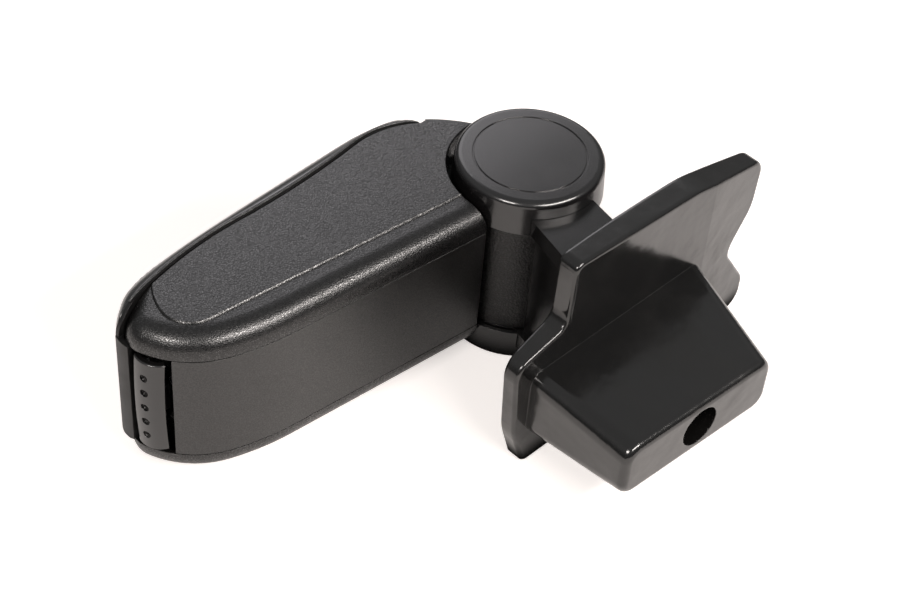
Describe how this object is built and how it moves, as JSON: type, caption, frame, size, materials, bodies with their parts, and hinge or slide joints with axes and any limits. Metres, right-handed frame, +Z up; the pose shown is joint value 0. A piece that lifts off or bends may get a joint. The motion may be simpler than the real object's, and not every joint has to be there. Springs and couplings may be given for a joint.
{
  "type": "car centre armrest",
  "caption": "Padded car centre armrest with a storage bin under a hinged lid, lifting on a drum hub whose fork stands on a flanged plug for the console.",
  "frame": {"origin": "on the console seat plane under the flange, in the arm's mid-plane, at the fixing bolt's fore-and-aft station", "axes": "+X forward along the arm, +Y to the left, +Z up; the plug points along -Z"},
  "size_m": [0.3069, 0.1163, 0.2158],
  "materials": {
    "adapter_compound": "smooth semi-gloss moulded compound",
    "satin_plastic": "satin, lightly textured",
    "grained_plastic": "pebble grain",
    "fine_grained_plastic": "fine grain, matte",
    "smooth_plastic": "smooth, soft gloss",
    "leatherette": "smooth padded leatherette",
    "zinc_steel": "zinc plated",
    "bearing_plastic": "natural acetal"
  },
  "bodies": {
    "base": {"console_adapter": "adapter_compound", "fork_bracket": "satin_plastic", "hub_cap_left": "satin_plastic", "hub_cap_right": "satin_plastic", "pivot_bolt": "zinc_steel", "pivot_nut": "zinc_steel", "pivot_washers": "zinc_steel", "thrust_washers": "bearing_plastic", "adapter_bolt": "zinc_steel", "adapter_washer": "zinc_steel", "adapter_nut": "zinc_steel"},
    "arm": {"arm_core": "fine_grained_plastic", "pivot_bushes": "bearing_plastic", "side_shell_left": "grained_plastic", "side_shell_right": "grained_plastic", "shell_screws": "zinc_steel", "underside_cover": "fine_grained_plastic", "rear_top_cover": "grained_plastic", "storage_tray": "fine_grained_plastic", "tray_screws": "zinc_steel", "lid_hinge_pin": "zinc_steel", "latch_bracket": "satin_plastic", "bracket_screws": "zinc_steel", "latch_spring": "zinc_steel"},
    "lid": {"lid_base": "smooth_plastic", "lid_cushion": "leatherette", "lid_catch": "smooth_plastic", "catch_screws": "zinc_steel"},
    "button": {"latch_button": "smooth_plastic"}
  },
  "joints": [
    {"name": "arm_lift", "type": "hinge", "parent": "base", "child": "arm", "pos_m": [-0.0232, 0, 0.0768], "axis": [0, -1, 0], "range_deg": [0, 95]},
    {"name": "lid_open", "type": "hinge", "parent": "arm", "child": "lid", "pos_m": [-0.0066, 0, 0.1372], "axis": [0, -1, 0], "range_deg": [0, 70]},
    {"name": "button_press", "type": "slide", "parent": "arm", "child": "button", "axis": [-1, 0, 0], "range_m": [0, 0.0035], "stiffness_N_per_m": 400, "springref_m": -0.002, "deforming": ["latch_spring"]}
  ]
}
